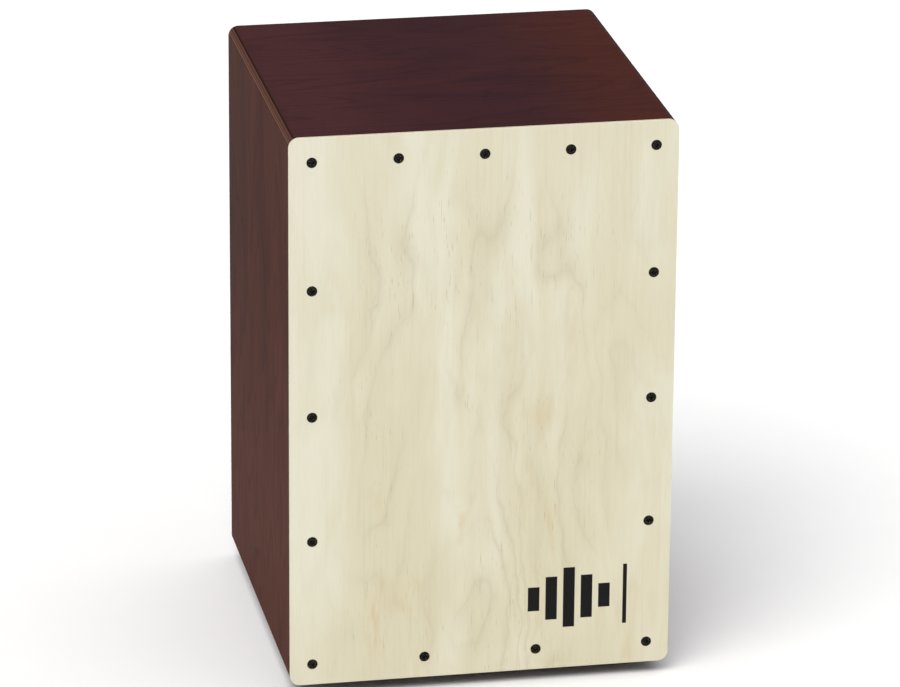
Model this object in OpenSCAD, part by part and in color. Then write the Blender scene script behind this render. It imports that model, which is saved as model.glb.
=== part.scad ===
// Cajon: a box drum that the player sits on. Millimetres, +Z up.
// The playing plate faces -Y, +X is right as seen from in front of the plate.
// The origin is on the floor, midway across the width and the depth.

/* [Box] */
// Width across the two side panels
box_width = 300; // [270:1:330]
// Height of the wooden box without its feet
box_height = 445; // [400:1:480]
// Depth from the plate's outer face to the rear edge of the shell
box_depth = 300; // [270:1:330]
// Thickness of the two side, the top and the bottom panels
panel_thickness = 12; // [10:0.5:18]
// Radius of the four long outer edges and of the plate's corners
edge_radius = 8; // [6:0.5:16]
// Part of a side panel's thickness that laps over the ends of the top and bottom panels
lap_lip = 4; // [2:0.5:8]

/* [Playing plate] */
// Thickness of the plate that is struck
plate_thickness = 3; // [2:0.1:5]
// Distance from the plate's side edges to the screw lines
plate_screw_inset_side = 17.5; // [14:0.5:22]
// Distance from the plate's top edge to the top row of screws
plate_screw_inset_top = 19.5; // [14:0.5:24]
// Distance from the plate's bottom edge to the bottom row of screws
plate_screw_inset_bottom = 17; // [14:0.5:22]
// Screws across the top row, corners included
plate_screws_across_top = 5; // [3:1:7]
// Screws across the bottom row, corners included
plate_screws_across_bottom = 4; // [3:1:7]
// Screws down each side, corners included
plate_screws_down_side = 5; // [3:1:7]

/* [Wood screws] */
// Diameter of a countersunk screw's head
screw_head_diameter = 8; // [7:0.1:9]
// Height of the head's cone
screw_head_height = 2.4; // [2.2:0.1:2.8]
// Diameter over the screw's thread
screw_diameter = 4; // [3.5:0.1:4.5]
// Length of a plate or back screw
screw_length = 18; // [14:1:20]

/* [Battens] */
// Width of a batten, across the panel's edge
batten_width = 16; // [14:1:20]
// Depth of a batten, along the box
batten_depth = 20; // [16:1:24]

/* [Back] */
// Thickness of the back panel
back_thickness = 5; // [3:0.5:8]
// Distance from the shell's rear edge in to the back panel
back_recess = 2; // [0:0.5:5]
// Gap between the back panel and the shell around it
back_gap = 0.3; // [0.2:0.1:1]
// Diameter of the round sound port
port_diameter = 115; // [90:1:130]
// Height of the port's centre as a fraction of the box height
port_height_fraction = 0.62; // [0.5:0.01:0.7]
// Inset of the back panel's screws from the side faces
back_screw_inset = 20; // [18:0.5:24]

/* [Feet] */
// Height of a rubber foot
foot_height = 10; // [6:0.5:16]
// Diameter of a foot where it meets the box
foot_top_diameter = 28; // [22:1:34]
// Diameter of a foot where it meets the floor
foot_floor_diameter = 23; // [18:1:30]
// Distance from the side faces to a foot's centre
foot_inset_x = 40; // [30:1:60]
// Distance from the front and rear faces to a foot's centre
foot_inset_y = 43; // [30:1:60]

/* [Strings] */
// Diameter of a string
string_diameter = 0.8; // [0.5:0.1:1.2]
// Distance from the middle of the box to the middle of each string pair
pair_offset = 52; // [40:1:70]
// Distance between the two strings of a pair
string_spacing = 24; // [18:1:28]
// Height of the crossbar's underside over the floor
crossbar_bottom = 396; // [360:1:400]
// Height of the crossbar
crossbar_height = 16; // [12:1:20]

/* [String tension screws] */
// Thread diameter of the tension screw (M6)
tension_diameter = 6; // [5:0.5:8]
// Length of the tension screw under its head
tension_length = 45; // [40:1:50]
// Distance from the plate's outer face back to the tension screw
tension_setback = 34; // [34:1:44]
// Height of the guide block over the bottom panel
guide_height = 36; // [30:1:45]

/* [Node] */
// Which piece to draw

/* [Hidden] */
$fn = 64;

// Box limits
half_width = box_width / 2;
front_y = -box_depth / 2;
rear_y = box_depth / 2;
floor_z = foot_height;
top_z = foot_height + box_height;
shell_front_y = front_y + plate_thickness;
shell_depth = box_depth - plate_thickness;
inner_half_width = half_width - panel_thickness;
inner_bottom_z = floor_z + panel_thickness;
inner_top_z = top_z - panel_thickness;
inner_height = inner_top_z - inner_bottom_z;
lap_half_width = half_width - lap_lip;
cut_margin = 1;

// Back
back_outer_y = rear_y - back_recess;
back_inner_y = back_outer_y - back_thickness;
back_batten_y = back_inner_y - batten_depth;
port_z = floor_z + box_height * port_height_fraction;
batten_inner_x = inner_half_width - batten_width;
batten_span = 2 * batten_inner_x;

// Screw positions on the plate
plate_screw_x = half_width - plate_screw_inset_side;
plate_screw_top_z = top_z - plate_screw_inset_top;
plate_screw_bottom_z = floor_z + plate_screw_inset_bottom;
top_row_pitch = 2 * plate_screw_x / (plate_screws_across_top - 1);
bottom_row_pitch = 2 * plate_screw_x / (plate_screws_across_bottom - 1);
side_pitch = (plate_screw_top_z - plate_screw_bottom_z) / (plate_screws_down_side - 1);

// Screw positions on the back
back_screw_x = half_width - back_screw_inset;
back_screw_low_z = floor_z + back_screw_inset;
back_screw_high_z = top_z - back_screw_inset;
back_screws_down_side = 4;
back_side_pitch = (back_screw_high_z - back_screw_low_z) / (back_screws_down_side - 1);

// Screw details
head_r = screw_head_diameter / 2;
shank_r = screw_diameter / 2;
head_land = 0.3;
tip_length = 4;
pilot_gap = 0.05;
countersink_gap = 0.15;
recess_width = 1.1;
recess_span = 4.2;
recess_depth = 1.6;
pan_head_height = 2.3;
pan_head_crown = 0.8;
anchor_screw_length = 14;
foot_screw_length = 13;

// Feet
foot_x = half_width - foot_inset_x;
foot_y = box_depth / 2 - foot_inset_y;
foot_recess_r = 6.5;
foot_recess_depth = 5;
foot_hole_r = 2.2;
foot_floor_chamfer = 1;
foot_washer_r = 5.6;
foot_washer_thickness = 1;

// Strings
string_r = string_diameter / 2;
contact_gap = 0.05;
string_top_y = shell_front_y + string_r + contact_gap;
crossbar_top = crossbar_bottom + crossbar_height;
crossbar_front_y = shell_front_y + 1;
crossbar_depth = 18;
string_top_z = crossbar_top + string_r + contact_gap;
groove_width = 1.8;
groove_depth = 2.2;
anchor_y = crossbar_front_y + 12;
anchor_loop_r = shank_r + string_r + 0.15;
anchor_head_z = string_top_z + string_r + 0.1;
felt_length = 60;
felt_height = 12;

// Tension screw, from its head upwards
tension_r = tension_diameter / 2;
tension_hole_r = tension_r + 0.3;
tension_y = front_y + tension_setback;
tension_head_r = 5;
tension_head_height = 6;
tension_head_chamfer = 0.6;
hex_key_across_flats = 5;
hex_key_depth = 3;
counterbore_depth = 8;
counterbore_r = 6.4;
washer_r = 6;
washer_thickness = 1.6;
washer_z = floor_z + counterbore_depth - washer_thickness;
tension_head_top_z = washer_z - contact_gap;
tension_end_z = tension_head_top_z + tension_length;
tension_tip_chamfer = 0.8;
thread_relief_depth = 0.35;

// Guide block and the carriage that slides in it
guide_half_width = 19;
guide_front_y = shell_front_y + batten_depth;
guide_rear_y = tension_y + 12;
guide_depth = guide_rear_y - guide_front_y;
guide_base = 6;
guide_top_z = inner_bottom_z + guide_height;
slide_gap = 0.3;
stem_half_width = 8;
stem_half_depth = 6;
stem_bottom_z = inner_bottom_z + guide_base + 5;
yoke_bottom_z = guide_top_z + 10;
yoke_height = 8;
yoke_half_width = 17;
yoke_top_z = yoke_bottom_z + yoke_height;
yoke_slot_width = 1.8;
thread_fit_gap = 0.05;
carriage_chamfer = 1;

// Ferrule on each string's lower end
ferrule_r = 1.9;
ferrule_height = 3.5;
ferrule_hole_r = 0.85;
ferrule_top_z = yoke_bottom_z;
ferrule_bottom_z = ferrule_top_z - ferrule_height;
knot_r = 1.1;
knot_z = ferrule_bottom_z - knot_r - contact_gap;

// Colours
pale_veneer = [0.87, 0.82, 0.70];
stained_wood = [0.27, 0.15, 0.13];
raw_wood = [0.80, 0.68, 0.50];
fibreboard = [0.16, 0.11, 0.09];
black_steel = [0.08, 0.08, 0.09];
zinc_steel = [0.66, 0.67, 0.70];
brass_metal = [0.78, 0.62, 0.30];
black_rubber = [0.06, 0.06, 0.06];
grey_felt = [0.30, 0.30, 0.31];

// ---- shared shapes ----

// Solid bar along Y with four rounded long edges: the outline of the shell and the plate.
module rounded_block(y_start, depth) {
  flat_x = box_width - 2 * edge_radius;
  flat_z = box_height - 2 * edge_radius;
  union() {
    translate([-flat_x / 2, y_start, floor_z]) cube([flat_x, depth, box_height]);
    translate([-half_width, y_start, floor_z + edge_radius]) cube([box_width, depth, flat_z]);
    for (x = [-flat_x / 2, flat_x / 2], z = [floor_z + edge_radius, top_z - edge_radius])
      translate([x, y_start, z]) rotate([-90, 0, 0]) cylinder(h = depth, r = edge_radius);
  }
}

// Countersunk cross-head wood screw: head flat at z = 0, point at +Z.
module countersunk_screw(length) {
  difference() {
    rotate_extrude()
      polygon([[0, 0], [head_r, 0], [head_r, head_land], [shank_r, screw_head_height],
               [shank_r, length - tip_length], [0, length]]);
    cross_recess();
  }
}

// Pan-head wood screw: underside of the head at z = 0, point at +Z, head towards -Z.
module pan_head_screw(length) {
  difference() {
    rotate_extrude()
      polygon([[0, -pan_head_height], [head_r - pan_head_crown, -pan_head_height],
               [head_r, -pan_head_height + pan_head_crown], [head_r, 0], [shank_r, 0],
               [shank_r, length - tip_length], [0, length]]);
    translate([0, 0, -pan_head_height]) cross_recess();
  }
}

// Cross-shaped driver recess cut from z = 0 into +Z.
module cross_recess() {
  for (a = [0, 90]) rotate([0, 0, a])
    translate([-recess_span / 2, -recess_width / 2, -cut_margin])
      cube([recess_span, recess_width, recess_depth + cut_margin]);
}

// Clearance cut for a countersunk screw, same axis as the screw.
module countersunk_hole(depth) {
  cylinder(h = depth, r = shank_r + pilot_gap);
  translate([0, 0, -cut_margin]) cylinder(h = cut_margin + head_land, r = head_r + countersink_gap);
  translate([0, 0, head_land])
    cylinder(h = screw_head_height - head_land + countersink_gap,
             r1 = head_r + countersink_gap, r2 = shank_r + pilot_gap);
}

// Puts an object made along +Z at (x, z) with its +Z pointing along +Y from the plate's face.
module from_front(x, z) { translate([x, front_y, z]) rotate([-90, 0, 0]) children(); }

// The same, pointing along -Y from the back panel's outer face.
module from_back(x, z) { translate([x, back_outer_y, z]) rotate([90, 0, 0]) children(); }

module at_top_row() {
  for (i = [0 : plate_screws_across_top - 1])
    from_front(-plate_screw_x + i * top_row_pitch, plate_screw_top_z) children();
}

module at_bottom_row() {
  for (i = [0 : plate_screws_across_bottom - 1])
    from_front(-plate_screw_x + i * bottom_row_pitch, plate_screw_bottom_z) children();
}

// The screws down one side between the corner screws; side is -1 (left) or 1 (right).
module at_side_row(side) {
  for (i = [1 : plate_screws_down_side - 2])
    from_front(side * plate_screw_x, plate_screw_bottom_z + i * side_pitch) children();
}

module at_all_plate_screws() {
  at_top_row() children();
  at_bottom_row() children();
  at_side_row(-1) children();
  at_side_row(1) children();
}

module at_back_screws() {
  for (side = [-1, 1], i = [0 : back_screws_down_side - 1])
    from_back(side * back_screw_x, back_screw_low_z + i * back_side_pitch) children();
  for (z = [back_screw_low_z, back_screw_high_z]) from_back(0, z) children();
}

module at_feet() {
  for (x = [-foot_x, foot_x], y = [-foot_y, foot_y]) translate([x, y, 0]) children();
}

// ---- wooden shell ----

module front_plate() {
  color(pale_veneer) difference() {
    rounded_block(front_y, plate_thickness);
    at_all_plate_screws() countersunk_hole(plate_thickness + cut_margin);
  }
}

// Side panel with a lip that laps over the ends of the top and bottom panels.
module side_panel(side) {
  outer_x = side < 0 ? -half_width : lap_half_width;
  inner_x = side < 0 ? -half_width : inner_half_width;
  color(stained_wood) intersection() {
    rounded_block(shell_front_y, shell_depth);
    union() {
      translate([outer_x, shell_front_y, floor_z]) cube([lap_lip, shell_depth, box_height]);
      translate([inner_x, shell_front_y, inner_bottom_z])
        cube([panel_thickness, shell_depth, inner_height]);
    }
  }
}

module left_side_panel() { side_panel(-1); }
module right_side_panel() { side_panel(1); }

// Level panel between the lips of the two side panels.
module level_panel(z) {
  intersection() {
    rounded_block(shell_front_y, shell_depth);
    translate([-lap_half_width, shell_front_y, z])
      cube([2 * lap_half_width, shell_depth, panel_thickness]);
  }
}

module top_panel() { color(stained_wood) level_panel(inner_top_z); }

module bottom_panel() {
  color(stained_wood) difference() {
    level_panel(floor_z);
    for (side = [-1, 1]) translate([side * pair_offset, tension_y, floor_z]) {
      translate([0, 0, -cut_margin]) cylinder(h = panel_thickness + 2 * cut_margin, r = tension_hole_r);
      translate([0, 0, -cut_margin]) cylinder(h = counterbore_depth + cut_margin, r = counterbore_r);
    }
    at_feet() translate([0, 0, foot_recess_depth - foot_washer_thickness])
      cylinder(h = foot_screw_length + pilot_gap, r = shank_r + pilot_gap);
  }
}

module back_panel() {
  color(fibreboard) difference() {
    translate([-inner_half_width + back_gap, back_inner_y, inner_bottom_z + back_gap])
      cube([2 * (inner_half_width - back_gap), back_thickness, inner_height - 2 * back_gap]);
    translate([0, back_inner_y - cut_margin, port_z]) rotate([-90, 0, 0])
      cylinder(h = back_thickness + 2 * cut_margin, r = port_diameter / 2);
    at_back_screws() countersunk_hole(back_thickness + cut_margin);
  }
}

// ---- battens that the plate and the back are screwed to ----

module upright_batten(side, y) {
  x = side < 0 ? -inner_half_width : batten_inner_x;
  translate([x, y, inner_bottom_z]) cube([batten_width, batten_depth, inner_height]);
}

module level_batten(y, z) {
  translate([-batten_inner_x, y, z]) cube([batten_span, batten_depth, batten_width]);
}

module front_upright(side) {
  color(raw_wood) difference() {
    upright_batten(side, shell_front_y);
    at_all_plate_screws() cylinder(h = screw_length + pilot_gap, r = shank_r + pilot_gap);
  }
}

module front_left_batten() { front_upright(-1); }
module front_right_batten() { front_upright(1); }

module front_top_batten() {
  color(raw_wood) difference() {
    level_batten(shell_front_y, inner_top_z - batten_width);
    at_top_row() cylinder(h = screw_length + pilot_gap, r = shank_r + pilot_gap);
  }
}

module front_bottom_batten() {
  color(raw_wood) difference() {
    level_batten(shell_front_y, inner_bottom_z);
    at_bottom_row() cylinder(h = screw_length + pilot_gap, r = shank_r + pilot_gap);
  }
}

module back_upright(side) {
  color(raw_wood) difference() {
    upright_batten(side, back_batten_y);
    at_back_screws() cylinder(h = screw_length + pilot_gap, r = shank_r + pilot_gap);
  }
}

module back_level(z) {
  color(raw_wood) difference() {
    level_batten(back_batten_y, z);
    at_back_screws() cylinder(h = screw_length + pilot_gap, r = shank_r + pilot_gap);
  }
}

module back_left_batten() { back_upright(-1); }
module back_right_batten() { back_upright(1); }
module back_top_batten() { back_level(inner_top_z - batten_width); }
module back_bottom_batten() { back_level(inner_bottom_z); }

// ---- fasteners ----

module plate_screws_top() { color(black_steel) at_top_row() countersunk_screw(screw_length); }
module plate_screws_bottom() { color(black_steel) at_bottom_row() countersunk_screw(screw_length); }
module plate_screws_left() { color(black_steel) at_side_row(-1) countersunk_screw(screw_length); }
module plate_screws_right() { color(black_steel) at_side_row(1) countersunk_screw(screw_length); }
module back_screws() { color(black_steel) at_back_screws() countersunk_screw(screw_length); }

// ---- feet ----

module foot(side_x, side_y) {
  color(black_rubber) translate([side_x * foot_x, side_y * foot_y, 0]) rotate_extrude()
    polygon([[foot_recess_r, 0], [foot_floor_diameter / 2 - foot_floor_chamfer, 0],
             [foot_floor_diameter / 2, foot_floor_chamfer], [foot_top_diameter / 2, foot_height],
             [foot_hole_r, foot_height], [foot_hole_r, foot_recess_depth],
             [foot_recess_r, foot_recess_depth]]);
}

module foot_front_left() { foot(-1, -1); }
module foot_front_right() { foot(1, -1); }
module foot_back_left() { foot(-1, 1); }
module foot_back_right() { foot(1, 1); }

module foot_washers() {
  color(zinc_steel) at_feet() translate([0, 0, foot_recess_depth - foot_washer_thickness])
    difference() {
      cylinder(h = foot_washer_thickness, r = foot_washer_r);
      translate([0, 0, -cut_margin])
        cylinder(h = foot_washer_thickness + 2 * cut_margin, r = foot_hole_r);
    }
}

module foot_screws() {
  color(zinc_steel) at_feet() translate([0, 0, foot_recess_depth - foot_washer_thickness])
    pan_head_screw(foot_screw_length);
}

// ---- strings and what holds their upper ends ----

// Runs the children at the four string positions.
module at_strings() {
  for (side = [-1, 1], end = [-1, 1])
    translate([side * pair_offset + end * string_spacing / 2, 0, 0]) children();
}

module string_crossbar() {
  color(raw_wood) difference() {
    translate([-batten_inner_x, crossbar_front_y, crossbar_bottom])
      cube([batten_span, crossbar_depth, crossbar_height]);
    at_strings() {
      translate([-groove_width / 2, crossbar_front_y - cut_margin, crossbar_bottom - cut_margin])
        cube([groove_width, groove_depth + cut_margin, crossbar_height + 2 * cut_margin]);
      translate([0, anchor_y, anchor_head_z - anchor_screw_length - pilot_gap])
        cylinder(h = anchor_screw_length, r = shank_r + pilot_gap);
    }
  }
}

// Keeps the crossbar from rattling on the plate between the string pairs.
module felt_strip() {
  color(grey_felt)
    translate([-felt_length / 2, shell_front_y, crossbar_bottom + (crossbar_height - felt_height) / 2])
      cube([felt_length, crossbar_front_y - shell_front_y, felt_height]);
}

module string_anchor_screws() {
  color(zinc_steel) at_strings() translate([0, anchor_y, anchor_head_z])
    rotate([180, 0, 0]) pan_head_screw(anchor_screw_length);
}

// One string: knot under its ferrule, long run up against the plate, bend over the
// crossbar's front edge, and an eye round the anchor screw. x is its distance from the middle.
module string(x) {
  low = [x, tension_y, knot_z];
  bend = [x, string_top_y, string_top_z];
  run = bend - low;
  run_length = norm(run);
  lean = acos(run[2] / run_length);
  color(zinc_steel) union() {
    translate(low) sphere(r = knot_r);
    translate(low) rotate([lean, 0, 0]) cylinder(h = run_length, r = string_r);
    translate(bend) sphere(r = string_r);
    translate(bend) rotate([-90, 0, 0])
      cylinder(h = anchor_y - anchor_loop_r - string_top_y, r = string_r);
    translate([x, anchor_y, string_top_z]) rotate_extrude()
      translate([anchor_loop_r, 0]) circle(r = string_r);
  }
}

module left_outer_string() { string(-pair_offset - string_spacing / 2); }
module left_inner_string() { string(-pair_offset + string_spacing / 2); }
module right_inner_string() { string(pair_offset - string_spacing / 2); }
module right_outer_string() { string(pair_offset + string_spacing / 2); }

// ---- string tension screws ----

module guide_block(side) {
  color(raw_wood) translate([side * pair_offset, 0, 0]) difference() {
    translate([-guide_half_width, guide_front_y, inner_bottom_z])
      cube([2 * guide_half_width, guide_depth, guide_height]);
    translate([-stem_half_width - slide_gap, tension_y - stem_half_depth - slide_gap,
               inner_bottom_z + guide_base])
      cube([2 * (stem_half_width + slide_gap), guide_depth, guide_height]);
    translate([0, tension_y, inner_bottom_z - cut_margin])
      cylinder(h = guide_base + 2 * cut_margin, r = tension_hole_r);
  }
}

module left_guide_block() { guide_block(-1); }
module right_guide_block() { guide_block(1); }

module tension_washer(side) {
  color(zinc_steel) translate([side * pair_offset, tension_y, washer_z]) difference() {
    cylinder(h = washer_thickness, r = washer_r);
    translate([0, 0, -cut_margin])
      cylinder(h = washer_thickness + 2 * cut_margin, r = tension_hole_r);
  }
}

module left_tension_washer() { tension_washer(-1); }
module right_tension_washer() { tension_washer(1); }

// Socket-head screw, head down, turned with a hex key from under the box.
module tension_screw(side) {
  head_bottom_z = tension_head_top_z - tension_head_height;
  color(zinc_steel) translate([side * pair_offset, tension_y, 0]) difference() {
    rotate_extrude()
      polygon([[0, head_bottom_z], [tension_head_r - tension_head_chamfer, head_bottom_z],
               [tension_head_r, head_bottom_z + tension_head_chamfer],
               [tension_head_r, tension_head_top_z], [tension_r, tension_head_top_z],
               [tension_r, tension_end_z - tension_tip_chamfer],
               [tension_r - tension_tip_chamfer, tension_end_z], [0, tension_end_z]]);
    translate([0, 0, head_bottom_z - cut_margin])
      cylinder(h = hex_key_depth + cut_margin, r = hex_key_across_flats / 2 / cos(30), $fn = 6);
  }
}

module left_tension_screw() { tension_screw(-1); }
module right_tension_screw() { tension_screw(1); }

// T-shaped carriage: the stem slides in the guide block on the tension screw's thread,
// and the yoke across the top has an open slot for each string of the pair.
module string_carriage(side) {
  color(zinc_steel) translate([side * pair_offset, tension_y, 0]) difference() {
    union() {
      translate([-stem_half_width, -stem_half_depth, stem_bottom_z])
        cube([2 * stem_half_width, 2 * stem_half_depth, yoke_bottom_z - stem_bottom_z + cut_margin]);
      translate([-yoke_half_width, -stem_half_depth, yoke_bottom_z])
        cube([2 * yoke_half_width, 2 * stem_half_depth, yoke_height]);
    }
    translate([0, 0, stem_bottom_z - cut_margin])
      cylinder(h = yoke_top_z - stem_bottom_z + 2 * cut_margin, r = tension_r + thread_fit_gap);
    for (end = [-1, 1])
      translate([end * string_spacing / 2 - yoke_slot_width / 2, -stem_half_depth - cut_margin,
                 yoke_bottom_z - cut_margin])
        cube([yoke_slot_width, stem_half_depth + cut_margin + yoke_slot_width / 2,
              yoke_height + 2 * cut_margin]);
  }
}

module left_string_carriage() { string_carriage(-1); }
module right_string_carriage() { string_carriage(1); }

// Brass ferrules that stop the strings under the yoke.
module string_ferrules(side) {
  color(brass_metal) for (end = [-1, 1])
    translate([side * pair_offset + end * string_spacing / 2, tension_y, ferrule_bottom_z])
      difference() {
        cylinder(h = ferrule_height, r = ferrule_r);
        translate([0, 0, -cut_margin])
          cylinder(h = ferrule_height + 2 * cut_margin, r = ferrule_hole_r);
      }
}

module left_string_ferrules() { string_ferrules(-1); }
module right_string_ferrules() { string_ferrules(1); }

// ---- drawing ----

front_plate();
left_side_panel();
right_side_panel();
top_panel();
bottom_panel();
back_panel();
front_left_batten();
front_right_batten();
front_top_batten();
front_bottom_batten();
back_left_batten();
back_right_batten();
back_top_batten();
back_bottom_batten();
string_crossbar();
felt_strip();
plate_screws_top();
plate_screws_bottom();
plate_screws_left();
plate_screws_right();
back_screws();
string_anchor_screws();
foot_front_left();
foot_front_right();
foot_back_left();
foot_back_right();
foot_washers();
foot_screws();
left_guide_block();
right_guide_block();
left_tension_washer();
right_tension_washer();
left_tension_screw();
right_tension_screw();
left_string_carriage();
right_string_carriage();
left_string_ferrules();
right_string_ferrules();
left_outer_string();
left_inner_string();
right_inner_string();
right_outer_string();
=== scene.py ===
"""Looks of the cajon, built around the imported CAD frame. Metres, +Z up, plate towards -Y."""

import math

import bmesh
import bpy
import numpy as np
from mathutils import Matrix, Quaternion, Vector


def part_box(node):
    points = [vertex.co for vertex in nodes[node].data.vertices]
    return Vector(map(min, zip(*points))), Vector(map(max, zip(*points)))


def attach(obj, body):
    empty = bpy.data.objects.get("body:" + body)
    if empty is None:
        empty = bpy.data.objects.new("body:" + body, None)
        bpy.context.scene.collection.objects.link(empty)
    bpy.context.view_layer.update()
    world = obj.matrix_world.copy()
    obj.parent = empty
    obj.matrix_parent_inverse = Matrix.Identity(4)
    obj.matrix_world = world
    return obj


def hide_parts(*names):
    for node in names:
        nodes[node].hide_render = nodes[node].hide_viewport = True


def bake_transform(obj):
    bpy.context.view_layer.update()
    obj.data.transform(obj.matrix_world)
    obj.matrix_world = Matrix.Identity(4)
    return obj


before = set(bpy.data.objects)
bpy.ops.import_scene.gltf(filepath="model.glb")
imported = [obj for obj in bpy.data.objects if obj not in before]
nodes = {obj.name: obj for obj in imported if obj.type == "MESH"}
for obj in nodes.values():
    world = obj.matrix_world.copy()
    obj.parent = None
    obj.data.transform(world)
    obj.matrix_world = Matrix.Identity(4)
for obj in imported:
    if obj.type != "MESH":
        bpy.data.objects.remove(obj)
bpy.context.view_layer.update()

MM = 0.001

# ---------------------------------------------------------------- sizes read from the frame


def box_mm(node_name):
    """A node's lowest and highest corners in millimetres, the unit of all the materials."""
    low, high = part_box(node_name)
    return low / MM, high / MM


plate_low, plate_high = box_mm("front_plate")
top_low, top_high = box_mm("top_panel")
back_low, back_high = box_mm("back_panel")
HALF_WIDTH = plate_high.x
PLATE_FRONT_Y = plate_low.y
PLATE_BACK_Y = plate_high.y
SHELL_TOP_Z = top_high.z
SHELL_BOTTOM_Z = box_mm("bottom_panel")[0].z
SHELL_MIDDLE_Z = (SHELL_TOP_Z + SHELL_BOTTOM_Z) / 2
PANEL_THICKNESS = top_high.z - top_low.z
LIP_X = top_high.x
BACK_PANEL_Y = back_low.y
REAR_Y = top_high.y


# ---------------------------------------------------------------- material graph helper


def srgb(r, g, b):
    """Linear RGBA of an 8-bit display colour."""
    def lin(c):
        c /= 255
        return c / 12.92 if c <= 0.04045 else ((c + 0.055) / 1.055) ** 2.4
    return (lin(r), lin(g), lin(b), 1.0)


class Graph:
    """A material's node graph. Every method that makes a node returns its output socket."""

    def __init__(self, name, **uniform):
        self.material = bpy.data.materials.new(name)
        self.material.use_nodes = True
        self.tree = self.material.node_tree
        self.tree.nodes.clear()
        output = self.tree.nodes.new("ShaderNodeOutputMaterial")
        self.shader = self.tree.nodes.new("ShaderNodeBsdfPrincipled")
        self.tree.links.new(self.shader.outputs[0], output.inputs["Surface"])
        for key, value in uniform.items():
            self.shader.inputs[key.replace("_", " ")].default_value = value
        coord = self.tree.nodes.new("ShaderNodeTexCoord")
        self.mm = self.vector("MULTIPLY", coord.outputs["Object"], (1000, 1000, 1000))
        split = self.tree.nodes.new("ShaderNodeSeparateXYZ")
        self.plug(self.mm, split.inputs[0])
        self.x, self.y, self.z = split.outputs

    def plug(self, value, socket):
        """Links an output socket to an input socket, or sets the input to a plain value."""
        if isinstance(value, bpy.types.NodeSocket):
            self.tree.links.new(value, socket)
        elif value is not None:
            socket.default_value = value

    def math(self, operation, a, b=None, clamp=False):
        node = self.tree.nodes.new("ShaderNodeMath")
        node.operation, node.use_clamp = operation, clamp
        for value, socket in zip((a, b), node.inputs):
            self.plug(value, socket)
        return node.outputs[0]

    def vector(self, operation, a, b):
        node = self.tree.nodes.new("ShaderNodeVectorMath")
        node.operation = operation
        self.plug(a, node.inputs[0])
        self.plug(b, node.inputs[1])
        return node.outputs[0]

    def product(self, first, *others):
        """The product of several scalars."""
        for other in others:
            first = self.math("MULTIPLY", first, other)
        return first

    def distance(self, value, centre):
        """How far a scalar is from centre."""
        return self.math("ABSOLUTE", self.math("SUBTRACT", value, centre))

    def combine(self, x, y, z):
        node = self.tree.nodes.new("ShaderNodeCombineXYZ")
        for value, socket in zip((x, y, z), node.inputs):
            self.plug(value, socket)
        return node.outputs[0]

    def stretched(self, sx, sy, sz, offset=(0, 0, 0)):
        """Millimetre coordinates divided by a length along each axis."""
        moved = self.vector("ADD", self.mm, offset)
        return self.vector("MULTIPLY", moved, (1 / sx, 1 / sy, 1 / sz))

    def noise(self, vector, detail, roughness, distortion=0.0):
        node = self.tree.nodes.new("ShaderNodeTexNoise")
        self.plug(vector, node.inputs["Vector"])
        node.inputs["Scale"].default_value = 1.0
        node.inputs["Detail"].default_value = detail
        node.inputs["Roughness"].default_value = roughness
        node.inputs["Distortion"].default_value = distortion
        return node.outputs["Fac"]

    def ramp(self, fac, stops):
        """stops is a list of (position, colour), in order."""
        node = self.tree.nodes.new("ShaderNodeValToRGB")
        elements = node.color_ramp.elements
        while len(elements) > 1:
            elements.remove(elements[-1])
        elements[0].position, elements[0].color = stops[0]
        for position, colour in stops[1:]:
            elements.new(position).color = colour
        self.plug(fac, node.inputs[0])
        return node.outputs["Color"]

    def span(self, value, low, high, to_low=0.0, to_high=1.0, smooth=True):
        """Value mapped from low..high to to_low..to_high, clamped."""
        node = self.tree.nodes.new("ShaderNodeMapRange")
        node.interpolation_type = "SMOOTHSTEP" if smooth else "LINEAR"
        self.plug(value, node.inputs["Value"])
        for name, number in (("From Min", low), ("From Max", high),
                             ("To Min", to_low), ("To Max", to_high)):
            self.plug(number, node.inputs[name])
        return node.outputs["Result"]

    def mix(self, fac, a, b):
        """Colour a where fac is 0, and colour b where it is 1."""
        node = self.tree.nodes.new("ShaderNodeMix")
        node.data_type = "RGBA"
        self.plug(fac, node.inputs[0])
        self.plug(a, node.inputs[6])
        self.plug(b, node.inputs[7])
        return node.outputs[2]

    def bump(self, height, distance, strength):
        node = self.tree.nodes.new("ShaderNodeBump")
        node.inputs["Distance"].default_value = distance
        node.inputs["Strength"].default_value = strength
        self.plug(height, node.inputs["Height"])
        return node.outputs[0]

    def set(self, **sockets):
        """Plugs values into the shader's sockets, named with _ for each space."""
        for key, value in sockets.items():
            self.plug(value, self.shader.inputs[key.replace("_", " ")])


# ---------------------------------------------------------------- wood


def drawn_out(grain_axis, across, length):
    """Feature sizes in mm on x, y and z: length on the grain's axis, and across on the others."""
    return [length if axis == grain_axis else across for axis in "xyz"]


def wood_grain(g, grain_axis, seed):
    """Fine grain, streaks, pores and slow blotches of wood."""
    offset = (seed * 37.0, seed * 53.0, seed * 71.0)
    fibre = g.noise(g.stretched(*drawn_out(grain_axis, 0.55, 26), offset), 3, 0.6)
    streak = g.noise(g.stretched(*drawn_out(grain_axis, 5, 190), offset), 4, 0.6, 0.4)
    pores = g.span(g.noise(g.stretched(*drawn_out(grain_axis, 0.62, 8.5), offset), 1, 0.5), 0.64, 0.73)
    blotch = g.noise(g.stretched(*drawn_out(grain_axis, 60, 130), offset), 3, 0.55, 0.6)
    return fibre, streak, pores, blotch


def growth_rings(g, vector, count, detail, roughness, distortion):
    """A sawtooth that rises from 0 to 1 across each ring: contour lines of a slow field."""
    field = g.noise(vector, detail, roughness, distortion)
    return g.math("FRACT", g.math("MULTIPLY", field, count))


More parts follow.
